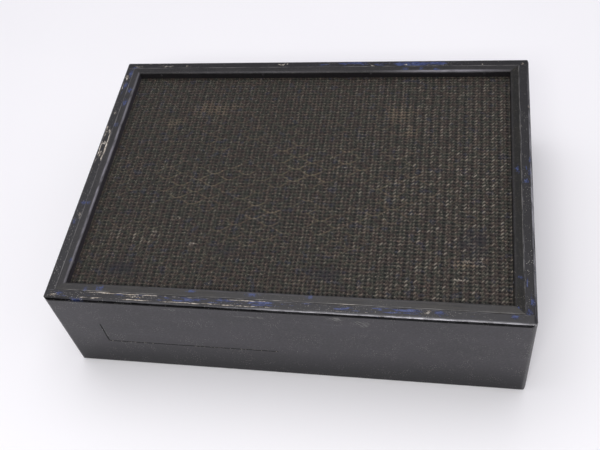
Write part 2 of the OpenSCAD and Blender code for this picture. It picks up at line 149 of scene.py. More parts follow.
def tone(text):
    """The linear colour of an sRGB hex triple."""
    parts = [int(text[i:i + 2], 16) / 255 for i in (0, 2, 4)]
    return [c / 12.92 if c <= 0.04045 else ((c + 0.055) / 1.055) ** 2.4 for c in parts] + [1]


class Field:
    """A value that varies over a surface. Arithmetic on it adds nodes to its material."""

    def __init__(self, paint, socket):
        self.paint = paint
        self.socket = socket

    def __add__(self, other):
        return self.paint.math("ADD", self, other)

    def __sub__(self, other):
        return self.paint.math("SUBTRACT", self, other)

    def __rsub__(self, other):
        return self.paint.math("SUBTRACT", other, self)

    def __mul__(self, other):
        return self.paint.math("MULTIPLY", self, other)

    def __abs__(self):
        return self.paint.math("ABSOLUTE", self)

    __radd__ = __add__
    __rmul__ = __mul__

    def least(self, other):
        return self.paint.math("MINIMUM", self, other)

    def most(self, other):
        return self.paint.math("MAXIMUM", self, other)

    def rise(self, low, high):
        """0 at low and 1 at high, smoothly. It falls instead where low is above high."""
        node = self.paint.add("ShaderNodeMapRange", interpolation_type="SMOOTHSTEP")
        self.paint.put(node.inputs["Value"], self)
        self.paint.put(node.inputs["From Min"], low)
        self.paint.put(node.inputs["From Max"], high)
        return Field(self.paint, node.outputs[0])

    def near(self, place, reach):
        """1 at place, and 0 from reach away."""
        return abs(self - place).rise(reach, 0)


class Paint:
    """One procedural material. Its methods add nodes and return what they make as a Field."""

    def __init__(self, name, **constants):
        self.material = bpy.data.materials.new(name)
        self.material.use_nodes = True
        self.tree = self.material.node_tree
        self.tree.nodes.clear()
        self.surface = self.add("ShaderNodeBsdfPrincipled")
        output = self.add("ShaderNodeOutputMaterial")
        self.tree.links.new(self.surface.outputs[0], output.inputs[0])
        self.place = Field(self, self.add("ShaderNodeTexCoord").outputs["Object"])
        split = self.add("ShaderNodeSeparateXYZ")
        self.put(split.inputs[0], self.place)
        self.x, self.y, self.z = (Field(self, split.outputs[i]) for i in range(3))
        for socket, value in constants.items():
            self.surface.inputs[socket.replace("_", " ")].default_value = value

    def add(self, kind, **settings):
        node = self.tree.nodes.new(kind)
        for key, value in settings.items():
            setattr(node, key, value)
        return node

    def put(self, socket, value):
        if isinstance(value, Field):
            self.tree.links.new(value.socket, socket)
        else:
            socket.default_value = value

    def math(self, kind, *values):
        node = self.add("ShaderNodeMath", operation=kind)
        for socket, value in zip(node.inputs, values):
            self.put(socket, value)
        return Field(self, node.outputs[0])

    def attribute(self, name):
        return Field(self, self.add("ShaderNodeAttribute", attribute_name=name).outputs["Fac"])

    def stretched(self, scale, seed):
        """The surface's place, scaled by a number or by three, and shifted so that no patterns agree."""
        scales = scale if hasattr(scale, "__len__") else (scale,) * 3
        node = self.add("ShaderNodeVectorMath", operation="MULTIPLY_ADD")
        self.put(node.inputs[0], self.place)
        node.inputs[1].default_value = scales
        node.inputs[2].default_value = (seed * 7.3, seed * 3.1 + 1.7, seed * 5.9)
        return Field(self, node.outputs[0])

    def noise(self, scale, seed=0, detail=2, rough=0.5, place=None):
        """Soft noise from 0 to 1, with scale features to the metre."""
        node = self.add("ShaderNodeTexNoise")
        self.put(node.inputs["Vector"], place or self.stretched(scale, seed))
        node.inputs["Scale"].default_value = 1
        node.inputs["Detail"].default_value = detail
        node.inputs["Roughness"].default_value = rough
        return Field(self, node.outputs["Fac"])

    def cells(self, scale, seed=0):
        """Distance to the nearest of scattered points, scale of them to the metre."""
        node = self.add("ShaderNodeTexVoronoi")
        self.put(node.inputs["Vector"], self.stretched(scale, seed))
        node.inputs["Scale"].default_value = 1
        return Field(self, node.outputs["Distance"])

    def vector(self, *parts):
        node = self.add("ShaderNodeCombineXYZ")
        for socket, part in zip(node.inputs, parts):
            self.put(socket, part)
        return Field(self, node.outputs[0])

    def slanted(self, seed):
        """Noise in short streaks that run down to the right on an upright face."""
        down, across = self.x * 0.8 - self.z * 0.6, self.x * 0.6 + self.z * 0.8
        return self.noise(1, detail=3, rough=0.6, place=self.vector(down * 70, across * 520, seed))

    def spots(self, places, up=False):
        """How deep inside the nearest oval a point is: 1 in its middle, 0 on its rim, below 0 outside.
        An oval is its middle and half sizes, in millimetres, along X and Y, or with up along X and Z."""
        deepest = None
        for across, along, half_across, half_along in places:
            scale = [1 / (half_across * MM), 1 / (half_along * MM)]
            offset = [-across / half_across, -along / half_along]
            unused = 1 if up else 2
            scale.insert(unused, 0)
            offset.insert(unused, 0)
            scaled = self.add("ShaderNodeVectorMath", operation="MULTIPLY_ADD")
            self.put(scaled.inputs[0], self.place)
            scaled.inputs[1].default_value = scale
            scaled.inputs[2].default_value = offset
            length = self.add("ShaderNodeVectorMath", operation="LENGTH")
            self.tree.links.new(scaled.outputs[0], length.inputs[0])
            depth = 1 - Field(self, length.outputs["Value"])
            deepest = depth if deepest is None else deepest.most(depth)
        return deepest

    def mix(self, share, low, high):
        """The colour from low to high as share goes from 0 to 1. Colours are Fields or hex triples."""
        node = self.add("ShaderNodeMix", data_type="RGBA")
        self.put(node.inputs["Factor"], share)
        colours = [s for s in node.inputs if s.type == "RGBA"]
        for socket, colour in zip(colours, (low, high)):
            self.put(socket, tone(colour) if isinstance(colour, str) else colour)
        return Field(self, [s for s in node.outputs if s.type == "RGBA"][0])

    def done(self, colour, roughness, height=None, depth=0.001):
        """Sets colour and roughness, and the bump from a height of 0 to 1 that is depth metres deep."""
        self.put(self.surface.inputs["Base Color"], colour)
        self.put(self.surface.inputs["Roughness"], roughness)
        if height is not None:
            bump = self.add("ShaderNodeBump")
            self.put(bump.inputs["Height"], height)
            bump.inputs["Strength"].default_value = 1
            bump.inputs["Distance"].default_value = depth
            self.tree.links.new(bump.outputs[0], self.surface.inputs["Normal"])
        return self.material


def patches(along, places):
    """The sum of soft patches along a side, each given by its middle, its reach and its strength."""
    total = None
    for middle, reach, strength in places:
        patch = along.near(middle, reach) * strength
        total = patch if total is None else total + patch
    return total


def drawn(run, along, across):
    """Noise scale of streaks drawn out along a side."""
    return (along, across, across) if run == "x" else (across, along, across)


def painted_board(name, run, seed, wear, gloss=0.5, joint=False):
    """Black over blue over bare wood, chipped where hands and floors meet it.
    wear holds soft patches along the side for each kind of damage, and ovals for the single chips; its rubbed
    patches also lay a painted highlight along the arris. The outer face gets painted shade towards its
    bottom, and its rounded edge a near black band that paints a dark reflection.
    joint adds the lines round the filled cut-out."""
    p = Paint(name, Specular_IOR_Level=gloss)
    along = p.x if run == "x" else p.y
    inward = (HALF_Y - abs(p.y)) if run == "x" else (HALF_X - abs(p.x))
    front = p.z.rise(BOARD_TOP - 6 * MM, BOARD_TOP - 1.5 * MM)
    outer = inward.rise(0.9 * MM, 0.3 * MM)
    face = outer * p.z.rise(ROUND_END, FACE_START)
    # The band down the rounded outer edge: glossy black paint, set near black (050506) and metallic so that
    # it also paints a dark reflection where the floor would be mirrored.
    black_band_dark_reflection = inward.rise(3 * MM, 0.8 * MM) * p.z.rise(FACE_START, ROUND_END)
    black_band_dark_reflection = black_band_dark_reflection * p.z.rise(BOARD_TOP - 0.4 * MM, BOARD_TOP - 1.6 * MM)

    # chips: in streaks along the groove and the outer arris, and as single ragged ones
    wobble = (p.noise(60, seed) - 0.5) * (2 * MM)
    groove = (inward + wobble).near(GROOVE_LINE, 1.5 * MM)
    arris = (inward + wobble).near(ARRIS_LINE, 1.7 * MM)
    streaks = p.noise(drawn(run, 75, 900), seed + 1, detail=3, rough=0.6)
    ragged = p.noise(drawn(run, 210, 620), seed + 14, detail=4, rough=0.75) - 0.5
    in_lines = groove * patches(along, wear["groove"]) + arris * patches(along, wear["arris"])
    tan = (streaks + in_lines * 0.33).rise(0.70, 0.76)
    tan = tan.most((ragged * 6 + p.spots(wear["chips"]).least(0.45)).rise(0.35, 0.8) * 0.9) * front
    blue_field = p.noise(drawn(run, 45, 210), seed + 2, detail=4, rough=0.65)
    band = inward.rise(6 * MM, 8 * MM) * inward.rise(15.6 * MM, 13.5 * MM)
    blue = (blue_field + patches(along, wear["blue"]) * band * 0.2).rise(0.68, 0.74)
    blue = blue.most((ragged * 4.5 + p.spots(wear["blue_chips"]).least(0.7)).rise(0.2, 0.8)) * front * 0.85
    specks = p.cells(360, seed + 3).rise(0.24, 0.14)
    speck_field = p.noise(90, seed + 4).rise(0.42, 0.6) * patches(along, wear["specks"])
    dots = specks * (speck_field * front).most(p.noise(36, seed + 5).rise(0.42, 0.66) * 0.6)

    clouds = p.noise((6, 6, 14), seed + 6, detail=4)
    rolled = p.noise((260, 260, 420), seed + 7, detail=3, rough=0.65)
    rows = p.noise((5, 5, 90), seed + 8, detail=3)
    # Painted shade: the outer face darkens to 0d0d12 over its lowest 0.10 m.
    clear_of_base_shade = p.z.rise(0.0, 0.10)
    bloom = p.mix(clouds.rise(0.25, 0.75), "1f1e22", "2f2d32")
    bloom = p.mix((rolled.rise(0.40, 0.72) * 0.6).most(rows.rise(0.55, 0.75) * 0.5), bloom, "403e44")
    black = p.mix(clouds.rise(0.3, 0.7), "121114", "1b1a1d")
    black = p.mix(rolled.rise(0.5, 0.75) * 0.5, black, "2b2a2e")
    black = p.mix(outer, black, "141416")
    black = p.mix(face, black, p.mix(clear_of_base_shade, "0d0d12", bloom))
    black = p.mix(black_band_dark_reflection, black, "050506")
    colour = p.mix(blue, black, p.mix(p.noise(160, seed + 10).rise(0.4, 0.6), "222f5c", "3c4a78"))
    colour = p.mix(tan, colour, p.mix(p.noise(260, seed + 11).rise(0.35, 0.65), "8a7f70", "d3ccc0"))
    colour = p.mix(dots, colour, "9a9892")

    # pale lines: rubbed paint with a painted highlight on the arris above the black band, and rubbed paint on
    # both sides of the groove
    line_noise = p.noise(drawn(run, 30, 200), seed + 15, detail=4, rough=0.7)
    rubbed = inward.near(2.3 * MM, 2.4 * MM) * patches(along, wear["rubbed"])
    rubbed = rubbed * line_noise.rise(0.30, 0.62) * front
    seam = inward.near(15.8 * MM, 0.8 * MM) * line_noise.rise(0.38, 0.62) * front
    colour = p.mix(rubbed.most(seam * 0.4), colour, "a4a4aa")
    scuffs = p.slanted(seed + 9).rise(0.46, 0.62) * p.spots(wear["scuffs"], up=True).rise(0, 0.5) * face
    colour = p.mix(scuffs * 0.45, colour, "8c8b86")

    if joint:
        colour = joint_lines(p, colour, face, seed + 16)

    inside = abs(p.x).rise(IN_X + 0.3 * MM, IN_X - 0.3 * MM)
    inside = inside * abs(p.y).rise(IN_Y + 0.3 * MM, IN_Y - 0.3 * MM)
    bare = inside * p.z.rise(CLOTH_LOW.z, CLOTH_LOW.z - 2 * MM)
    colour = p.mix(bare, colour, p.mix(p.noise((8, 8, 160), seed + 12, detail=5), "8d6b43", "b89468"))

    # Metallic over the near black colour dims reflections: a painted dark reflection on the black band, and
    # painted shade low on the outer face.
    p.put(p.surface.inputs["Metallic"], (black_band_dark_reflection * 0.85).most(face * (1 - clear_of_base_shade) * 0.35) * (1 - tan))
    roughness = 0.34 + clouds * 0.10 + face * 0.10 - black_band_dark_reflection * 0.14 - rubbed * 0.1
    roughness = roughness + tan * 0.25 + bare * 0.25
    height = rolled * 0.5 + rows * 0.15 - tan * 0.9 - blue * 0.4 + dots * 0.15
    return p.done(colour, roughness, height, 0.35 * MM)


def joint_lines(p, colour, face, seed):
    """The open joint along two sides of the filled cut-out, with the paint broken beside it."""
    across = p.x.rise(INFILL_LOW.x - MM, INFILL_LOW.x) * p.x.rise(INFILL_HIGH.x + MM, INFILL_HIGH.x)
    upright = p.z.rise(INFILL_LOW.z - MM, INFILL_LOW.z) * p.z.rise(INFILL_HIGH.z + MM, INFILL_HIGH.z)
    side_line = p.x.near(INFILL_LOW.x, 2.2 * MM) * upright
    long_line = p.z.near(INFILL_LOW.z, 2.0 * MM) * across
    joint = side_line.most(long_line) * face
    broken_edge = p.noise(230, seed, detail=3, rough=0.7)
    colour = p.mix(joint.rise(0.15, 0.6) * broken_edge.rise(0.25, 0.45), colour, "040404")
    beside = joint.rise(0.02, 0.2) * joint.rise(0.5, 0.25)
    return p.mix(beside * broken_edge.rise(0.58, 0.66), colour, "9a948c")


def painted_strip(name, run, seed, wear):
    """The same paint on a soft wood strip, browner where the black has rubbed thin.
    wear holds chips and patches as on a board, the paint's two colours as body, and the inner wall's colour,
    which is painted light and shade: pale on the left strip, near black on the bottom one. Its shine patches
    lay a painted highlight on the inner arris."""
    p = Paint(name, Specular_IOR_Level=wear["gloss"])
    along = p.x if run == "x" else p.y
    inward = (HALF_Y - abs(p.y)) if run == "x" else (HALF_X - abs(p.x))
    top = p.z.rise(CLOTH_HIGH.z + 9 * MM, CLOTH_HIGH.z + 12 * MM)
    rubbed = p.noise(18, seed, detail=4).rise(0.35, 0.7)
    fibre = p.noise(drawn(run, 14, 420), seed + 1, detail=5, rough=0.65)
    tooth = p.noise(330, seed + 8, detail=2, rough=0.7)
    ragged = p.noise(drawn(run, 210, 420), seed + 2, detail=4, rough=0.75) - 0.5
    blue = (ragged * 4.5 + p.spots(wear["blue_chips"]).least(0.6)).rise(0.2, 0.9) * top * 0.8
    line_noise = p.noise(drawn(run, 30, 200), seed + 3, detail=4, rough=0.7)
    seam = inward.near(16.9 * MM, 0.8 * MM) * line_noise.rise(0.38, 0.62) * top
    tan = seam * patches(along, wear["groove"]) * line_noise.rise(0.55, 0.66)
    specks = p.cells(360, seed + 4).rise(0.18, 0.10) * p.noise(45, seed + 5).rise(0.5, 0.7) * 0.55
    colour = p.mix(rubbed * fibre.rise(0.35, 0.6), *wear["body"])
    colour = p.mix(tooth.rise(0.5, 0.75) * 0.5, colour, "3b3936")
    across = inward - (BOARD + STRIP)
    # Painted highlight, with some rubbed paint, along the inner arris: strong on the left strip, faint
    # elsewhere, as the shine patches give it.
    shoulder_highlight = across.near(-2.0 * MM, 3.2 * MM) * p.z.rise(CLOTH_HIGH.z + 7.5 * MM, CLOTH_HIGH.z + 10 * MM)
    colour = p.mix(shoulder_highlight * patches(along, wear["shine"]) * line_noise.rise(0.25, 0.6), colour, "77757c")
    colour = p.mix(specks * top, colour, "9a958a")
    colour = p.mix(blue, colour, p.mix(p.noise(170, seed + 6), "27356a", "44537f"))
    colour = p.mix(seam * 0.5, colour, "9c9a98")
    colour = p.mix(tan, colour, "c9c0b2")
    # Painted light and shade on the strip's inner wall: each side gets its own wall colour, lit pale on the
    # left and shaded near black on the bottom.
    low = across.rise(-0.4 * MM, -0.1 * MM) * p.z.rise(CLOTH_HIGH.z + 9.5 * MM, CLOTH_HIGH.z + 7.5 * MM)
    colour = p.mix(low, colour, p.mix(tooth, wear["wall"], "2a282b"))
    roughness = 0.36 + rubbed * 0.16 + tan * 0.25
    height = fibre * 0.35 + tooth * 0.35 - tan * 0.7 - blue * 0.3
    return p.done(colour, roughness, height, 0.3 * MM)


def timber(name, dark, light, scale, roughness=0.62):
    """Bare wood with its grain along the axis of the smallest scale."""
    p = Paint(name, Specular_IOR_Level=0.3)
    grain = p.noise(scale, detail=6, rough=0.6)
    bands = p.noise([s * 0.22 for s in scale], 3, detail=3)
    colour = p.mix((grain * 0.6 + bands * 0.5).rise(0.35, 0.75), dark, light)
    colour = p.mix(p.noise([s * 1.6 for s in scale], 5).rise(0.62, 0.72) * 0.6, colour, dark)
    return p.done(colour, roughness + grain * 0.15, grain, 0.25 * MM)


def metal(name, dark, light, roughness, metallic=1.0, scale=90, tarnish="3a332c", spread=0.35):
    """Metal with cloudy tarnish, fine scratches and duller patches."""
    p = Paint(name, Metallic=metallic)
    clouds = p.noise(scale, detail=5, rough=0.6)
    scratches = p.noise((scale * 12, scale * 1.5, scale * 5), 4, detail=2)
    colour = p.mix(clouds.rise(0.3, 0.7), dark, light)
    colour = p.mix(p.noise(scale * 0.7, 6, detail=4).rise(0.55, 0.75) * spread, colour, tarnish)
    roughness = roughness + clouds * 0.22 + scratches * 0.08
    return p.done(colour, roughness, scratches * 0.4 + clouds * 0.3, 0.06 * MM)


def matt(name, dark, light, roughness, scale=60, fine=900, depth=0.15, **constants):
    """Paper, card, rubber, ferrite and the like: mottled, with a fine tooth."""
    p = Paint(name, Specular_IOR_Level=0.35, **constants)
    clouds = p.noise(scale, detail=4)
    tooth = p.noise(fine, 2, detail=3, rough=0.7)
    colour = p.mix(clouds.rise(0.3, 0.7), dark, light)
    colour = p.mix(tooth.rise(0.58, 0.75) * 0.35, colour, light)
    return p.done(colour, roughness + tooth * 0.12, tooth * 0.7 + clouds * 0.4, depth * MM)


def woven_grille():
    """Dark gauze of twisted yarns, paler and greasier on their tops, with tan figuring and old stains,
    painted glints on the warp crests and painted shade in the holes between the yarns.
    """
    p = Paint("grille_fabric_woven", Specular_IOR_Level=0.34)
    relief = p.attribute("relief")
    warp_glint_and_wear = p.attribute("warp_glint_and_wear")
    figure = p.attribute("figure")
    blotch = p.noise(62, 1, detail=3, rough=0.6)
    hue = p.noise(110, 2, detail=3, rough=0.6)
    worn = p.noise(190, 3, detail=3, rough=0.7)
    fibre = p.noise((900, 1500, 900), 4, detail=2)
    body = p.mix(hue.rise(0.42, 0.58), "20231b", "2a201c")
    body = p.mix(p.noise(70, 5, detail=2).rise(0.58, 0.68) * 0.7, body, "1c2030")
    tops = p.mix(blotch.rise(0.3, 0.7), "37342c", "544c41")
    patchy = p.noise((150, 300, 150), 8, detail=2, rough=0.7).rise(0.36, 0.64)
    colour = p.mix(relief.rise(0.50, 0.95) * (0.05 + worn * 0.4 + patchy * 0.75), body, tops)
    grime = p.noise((230, 330, 230), 9, detail=2, rough=0.7).rise(0.50, 0.68)
    colour = p.mix(grime * 0.7, colour, "0c0b09")
    # Painted shade: the low places between the yarns go near black.
    colour = p.mix(relief.rise(0.38, 0.10), colour, "040403")
    worn_spots = p.spots(WORN).rise(0, 0.5) * 0.7
    # Painted glint: the warp crests are lit pale mostly towards +X and the near side; inside the WORN oval
    # the pale tops are wear.
    right = p.x.rise(-0.05, 0.30) * (p.y.rise(0.24, -0.02) * 0.35 + 0.22) + 0.18
    colour = p.mix(warp_glint_and_wear * right.most(worn_spots), colour, "989184")
    flecks = p.noise((300, 420, 260), 6, detail=2, rough=0.7).rise(0.57, 0.68) * relief
    colour = p.mix(flecks * 0.7, colour, p.mix(hue.rise(0.35, 0.65), "8a8478", "7d6a5c"))
    ragged = p.noise(70, 7, detail=4, rough=0.7) - 0.5
    stains = (ragged * 2.2 + p.spots(STAINS)).rise(0.0, 0.7) * relief.rise(0.3, 0.8)
    colour = p.mix(stains * 0.22, colour, "8f7a62")
    frayed = p.noise((420, 420, 420), 10, detail=3, rough=0.7).rise(0.44, 0.6) * p.spots(FRAYS).rise(0, 0.6)
    colour = p.mix(frayed * relief.rise(0.2, 0.7) * 0.75, colour, "a39b8e")
    bruise = (ragged * 2.0 + p.spots(BRUISES)).rise(0.0, 0.8)
    colour = p.mix(bruise * 0.5, colour, "14141f")
    colour = p.mix(figure, colour, p.mix(blotch, "75694f", "988a70"))
    roughness = 0.50 + worn * 0.25
    return p.done(colour, roughness, fibre * 0.5, 0.25 * MM)


# ---------- the woven grille ----------

CELL_X_COUNT, CELL_Y_COUNT = 51, 75
STEPS_X, STEPS_Y = 14, 9
DEEP = 2.4 * MM
FIGURE_X, FIGURE_Y = 18 * MM, -2.9 * MM
FIGURE_CELLS = 4

# Ovals on the cloth, in millimetres: middle, then half sizes.
# Tan stains, frayed places, darker bluish patches, and where the yarns' tops have worn pale.
STAINS = [
    (-170, 152, 60, 22), (-235, 120, 25, 14), (150, 140, 30, 24), (172, 100, 16, 14), (258, -158, 26, 10),
]
FRAYS = [
    (249, 12, 9, 3), (262, -152, 10, 4), (282, -150, 3, 14), (251, -183, 11, 4), (253, 186, 9, 2.5),
    (-149, -140, 10, 5), (-182, -90, 6, 4), (-214, -118, 9, 3), (266, -120, 3, 8), (71, 21, 6, 2),
]
BRUISES = [
    (-250, -190, 40, 26), (-95, -150, 26, 16), (60, -185, 40, 14), (-30, -95, 18, 10), (270, -120, 30, 40),
]
WORN = [(-230, -128, 75, 28)]


def wrapped(value):
    """How far value is from the nearest whole number, with its sign."""
    return value - np.round(value)


def yarn(distance, half_width, axis_height, thickness):
    """Height of a round yarn's upper side at a distance from its middle line, and DEEP below beside it."""
    inside = 1 - (distance / half_width) ** 2
    top = axis_height + thickness * (np.sqrt(np.clip(inside, 0, 1)) - 1)
    return np.where(inside > 0, top, -DEEP)


def ripples(x, y, seed, waves, low, high):
    """A smooth wandering value from -1 to 1, from seeded waves between two wavelengths."""
    random = np.random.default_rng(seed)
    total = np.zeros_like(x)
    for _ in range(waves):
        length = random.uniform(low, high)
        angle, phase = random.uniform(0, 2 * math.pi, 2)
        total += np.sin(2 * math.pi * (x * math.cos(angle) + y * math.sin(angle)) / length + phase)
    return total / waves


def weave(u, v, cell_x, cell_y, drift, loose, flat):
    """A gauze weave over whole cells u, v, where twisted pairs of warps lock each weft.
    Gives the upper surface's height, and a painted glint on the crest of each warp that lies on top, random
    from crossing to crossing.
    drift pushes pairs together, and loose, from -1 to 1, widens the yarns or lets the holes open.
    flat, from 0 to 1, spreads each warp into a broad bead where it crosses a weft."""
    lean = 1.3
    twist = (1.2 - 0.5 * flat) * MM
    sink = (0.7 + 0.2 * flat) * MM
    warp_width = (1.3 + 0.4 * loose + 0.65 * flat) * MM
    weft_width = (1.7 + 0.7 * loose) * MM
    weft_axis = -0.6 * MM - 0.2 * MM * np.cos(4 * math.pi * u)
    height = yarn(wrapped(v) * cell_y, weft_width, weft_axis, 0.9 * MM)
    warp_glint_and_wear = np.zeros_like(u)
    luck = np.random.default_rng(21).random((4, CELL_Y_COUNT + 2, CELL_X_COUNT + 2)) ** 3
    for pair, place in enumerate((0, 0.5 - drift)):
        from_pair = wrapped(u - place)
        for turn in (0, 1):
            along = v - lean * from_pair
            angle = math.pi * (along + turn)
            side = from_pair * cell_x - twist * np.sin(angle)
            top = yarn(side, warp_width, sink * (np.cos(angle) - 1) - 0.2 * MM * pair, 0.8 * MM)
            row, column = np.round(along).astype(int), np.round(u - place).astype(int)
            # A painted glint on the warp's crest, random per crossing and tighter where the beads are flat.
            crest_glint = luck[pair * 2 + turn, row, column] * np.clip(np.cos(angle), 0, 1) ** (2 + 3 * flat)
            warp_glint_and_wear = np.where(top > height, crest_glint * (1 - 0.5 * pair), warp_glint_and_wear)
            height = np.maximum(height, top)
    return height, warp_glint_and_wear


def lozenges(x, y, wide, tall):
    """Distance to the nearest of the threads that cross the cloth in round-ended lozenges.
    Also how near that place is to the thread's lower bends, where it shows most, from 0 to 1."""
    phase = 2 * math.pi * (x - FIGURE_X) / wide
    level, wave = (y - FIGURE_Y) / tall, 0.25 * np.cos(phase)
    one, two = np.abs(wrapped(level - wave)), np.abs(wrapped(level - 0.5 + wave))
    slope = 0.5 * math.pi * tall / wide * np.sin(phase)
    belly = np.where(one < two, 0.5 - 2 * wave, 0.5 + 2 * wave)
    return np.minimum(one, two) * tall / np.hypot(1, slope), belly


def make_cloth():
    """The grille: one stretched sheet over the frame, its yarns raised on it as relief."""
    width, length = CLOTH_HIGH.x - CLOTH_LOW.x, CLOTH_HIGH.y - CLOTH_LOW.y
    nx, ny = CELL_X_COUNT * STEPS_X + 1, CELL_Y_COUNT * STEPS_Y + 1
    cell_x, cell_y = width / CELL_X_COUNT, length / CELL_Y_COUNT
    u, v = np.meshgrid(np.arange(nx) / STEPS_X, np.arange(ny) / STEPS_Y)
    x, y = CLOTH_LOW.x + u * cell_x, CLOTH_LOW.y + v * cell_y
    drift = 0.035 + 0.065 * np.clip((np.abs(x) - 60 * MM) / (120 * MM), 0, 1)
    drift += 0.03 * ripples(x, y, 4, 8, 0.06, 0.2)
    loose = ripples(x, y, 9, 30, 12 * MM, 30 * MM)
    flat = np.clip((x + 80 * MM) / (240 * MM), 0, 1)
    height, warp_glint_and_wear = weave(u, v, cell_x, cell_y, drift, loose, flat)
    relief = np.clip((height + 1.5 * MM) / (1.5 * MM), 0, 1)

    broken = np.clip(ripples(x, y, 11, 24, 50 * MM, 160 * MM) * 3 + 0.6, 0, 1)
    middle = np.exp(-((x + 0.03) / 0.24) ** 2 - ((y + 0.02) / 0.12) ** 2)
    distance, belly = lozenges(x, y, FIGURE_CELLS * cell_x, FIGURE_CELLS * cell_y)
    thread = np.exp(-((distance / (0.8 * MM)) ** 2)) * (0.3 + 0.7 * belly)
    figure = thread * broken * (0.10 + 0.44 * middle)
    height = np.where(figure > 0.25, np.maximum(height, (0.45 * figure - 0.45) * MM), height)

    edge = np.minimum(np.minimum(u, CELL_X_COUNT - u) / 3, np.minimum(v, CELL_Y_COUNT - v) / 6)
    free = np.clip(edge, 0, 1)
    z = height - height.max() - (0.12 * MM) * (1 - ripples(x, y, 5, 9, 0.05, 0.3)) * free
    slack_x = 0.9 * ripples(x, y, 7, 12, 0.04, 0.25) + 1.8 * ripples(x, y, 12, 30, 9 * MM, 26 * MM)
    slack_y = 0.8 * ripples(x, y, 8, 12, 0.04, 0.25) + 2.6 * ripples(x, y, 13, 30, 11 * MM, 30 * MM)
    x, y = x + slack_x * free * MM, y + slack_y * free * MM
    places = np.stack([x, y, CLOTH_HIGH.z + np.maximum(z, CLOTH_LOW.z - CLOTH_HIGH.z)], -1).reshape(-1, 3)

    corner = (np.arange(ny - 1)[:, None] * nx + np.arange(nx - 1)[None, :]).ravel()
    quads = np.stack([corner, corner + 1, corner + nx + 1, corner + nx], -1)
    cloth = mesh_piece("woven_grille", places, quads)
    for name, values in (("relief", relief), ("warp_glint_and_wear", warp_glint_and_wear), ("figure", figure)):
        attribute = cloth.data.attributes.new(name, "FLOAT", "POINT")
        attribute.data.foreach_set("value", values.astype(np.float32).ravel())
    cloth.data.materials.append(woven_grille())
    return cloth


def mesh_piece(name, places, quads):
    """A smooth mesh object from an array of points and one of four-sided faces."""
    mesh = bpy.data.meshes.new(name)
    mesh.vertices.add(len(places))
    mesh.vertices.foreach_set("co", np.asarray(places, np.float32).ravel())
    mesh.loops.add(quads.size)
    mesh.loops.foreach_set("vertex_index", np.asarray(quads, np.int32).ravel())
    mesh.polygons.add(len(quads))
    mesh.polygons.foreach_set("loop_start", np.arange(0, quads.size, 4, dtype=np.int32))
    mesh.update(calc_edges=True)
    mesh.validate()
    mesh.shade_smooth()
    piece = bpy.data.objects.new(name, mesh)
    bpy.context.scene.collection.objects.link(piece)
    return piece


# ---------- the parts that give between cone and basket ----------


def pleated_ring(name, outline, centre, thickness):
    """A thin corrugated ring: outline is [(radius, z), ...] of its upper side, in metres."""
    sectors = 160
    outline = np.array(outline)
    closed = np.concatenate([outline, (outline - (0, thickness))[::-1]])
    angles = 2 * math.pi * np.arange(sectors) / sectors
    places = np.stack([
        centre.x + np.cos(angles)[:, None] * closed[None, :, 0],
        centre.y + np.sin(angles)[:, None] * closed[None, :, 0],
        np.repeat(closed[None, :, 1], sectors, 0),
    ], -1).reshape(-1, 3)
    count = len(closed)
    sector, k = np.meshgrid(np.arange(sectors), np.arange(count), indexing="ij")
    ahead, beside = (sector + 1) % sectors, (k + 1) % count
    quads = np.stack([
        sector * count + k, sector * count + beside, ahead * count + beside, ahead * count + k
    ], -1).reshape(-1, 4)
    return mesh_piece(name, places, quads)


def pleats(start, end, waves, wave_height, rim):
    """The outline of a ring with pleats from start to end and a flat rim beyond, each a (radius, z)."""
    share = np.linspace(0, 1, 12 * waves + 1)
    radius = start[0] + (end[0] - start[0]) * share
    height = start[1] + (end[1] - start[1]) * share + wave_height * np.sin(2 * math.pi * waves * share)
    return [*zip(radius, height), rim]


def rounded_route(points, passes=3):
    """The route with its corners cut, its ends kept."""
    points = np.array(points, float)
    for _ in range(passes):
        before, after = points[:-1], points[1:]
        cut = np.stack([before * 0.75 + after * 0.25, before * 0.25 + after * 0.75], 1).reshape(-1, 3)
        points = np.concatenate([points[:1], cut, points[-1:]])
    return points


def braided_leads(name, routes, radius):
    """Round leads of three twisted strands, each along a route that keeps to one X."""
    sides, strands, lay = 18, 3, 4 * MM
    angles = 2 * math.pi * np.arange(sides) / sides
    places, quads = [], []
    for route in routes:
        along = np.gradient(route, axis=0)
        along /= np.linalg.norm(along, axis=1)[:, None]
        up = np.cross(along, (1, 0, 0))
        run = np.concatenate([[0], np.cumsum(np.linalg.norm(np.diff(route, axis=0), axis=1))])
        turned = angles[None, :] - 2 * math.pi * run[:, None] / lay / strands
        twisted = 1 + 0.12 * (np.cos(strands * turned) - 1)
        reach = radius * twisted * np.where((run == 0) | (run == run[-1]), 0.05, 1)[:, None]
        ring = route[:, None, :] + up[:, None, :] * (reach * np.sin(angles))[..., None]
        ring[..., 0] += reach * np.cos(angles)
        first = sum(len(part) for part in places)
        row, k = np.meshgrid(np.arange(len(route) - 1), np.arange(sides), indexing="ij")
        beside = (k + 1) % sides
        quads.append(first + np.stack([
            row * sides + k, row * sides + beside, (row + 1) * sides + beside, (row + 1) * sides + k
        ], -1).reshape(-1, 4))
        places.append(ring.reshape(-1, 3))
    return mesh_piece(name, np.concatenate(places), np.concatenate(quads))


def flexing_part(piece, node, material):
    """Gives a replacement driver part its material, bakes its place into its mesh and hides the CAD node it
    stands for.
    """
    piece.data.materials.append(material)
    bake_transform(piece)
    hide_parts(node)


